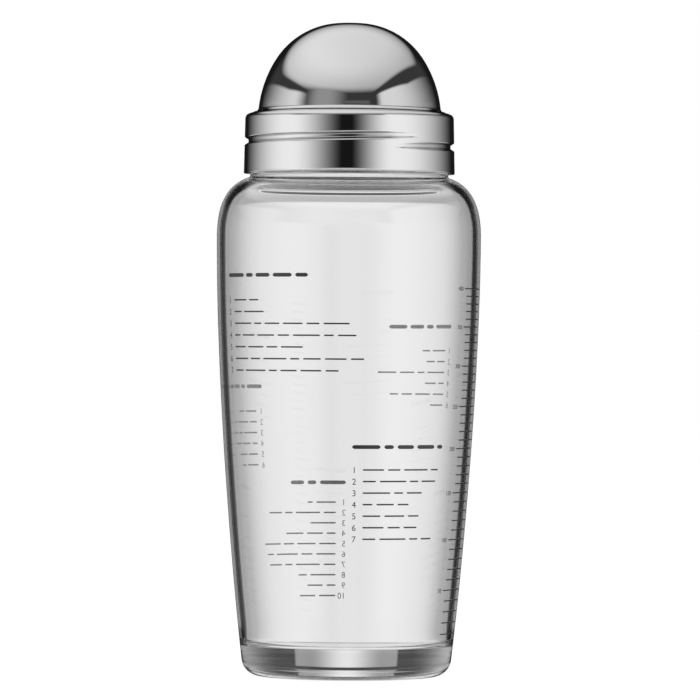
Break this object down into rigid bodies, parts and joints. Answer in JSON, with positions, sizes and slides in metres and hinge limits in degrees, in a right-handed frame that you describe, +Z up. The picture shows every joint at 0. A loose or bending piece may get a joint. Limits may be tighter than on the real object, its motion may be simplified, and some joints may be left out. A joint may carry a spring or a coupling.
{
  "type": "salad dressing shaker bottle",
  "caption": "Clear glass shaker bottle with a printed measuring scale, a steel screw collar, a pourer with a strainer and a domed steel cap that lifts off.",
  "frame": {"origin": "centre of the ring that the bottle stands on, on the table's surface", "axes": "+Z up along the bottle's axis, -Y towards the front of the picture, +X to the right of it"},
  "size_m": [0.08, 0.08, 0.1976],
  "materials": {
    "clear_glass": "blown soda-lime glass, polished",
    "polished_steel": "deep-drawn stainless steel, mirror polished",
    "white_plastic": "moulded polypropylene",
    "silicone": "moulded silicone",
    "dark_print": "screen-printed enamel on the glass"
  },
  "bodies": {
    "bottle": {"glass_bottle": "clear_glass"},
    "closure": {"pourer": "white_plastic", "strainer": "polished_steel", "rim_gasket": "silicone", "spout_o_ring": "silicone"},
    "collar": {"screw_collar": "polished_steel"},
    "dome": {"dome_shell": "polished_steel", "dome_liner": "white_plastic", "dome_seal": "silicone"}
  },
  "joints": [
    {"name": "closure_lift", "type": "slide", "parent": "bottle", "child": "closure", "axis": [0, 0, 1], "range_m": [0, 0.00329]},
    {"name": "collar_turn", "type": "hinge", "parent": "closure", "child": "collar", "pos_m": [0, 0, 0.16], "axis": [0, 0, 1], "range_deg": [0, 370]},
    {"name": "dome_lift", "type": "slide", "parent": "closure", "child": "dome", "axis": [0, 0, 1], "range_m": [0, 0.04]}
  ],
  "couplings": [
    {"joint": "collar_turn", "follows": "closure_lift", "rad_per_m": 1963.5}
  ]
}
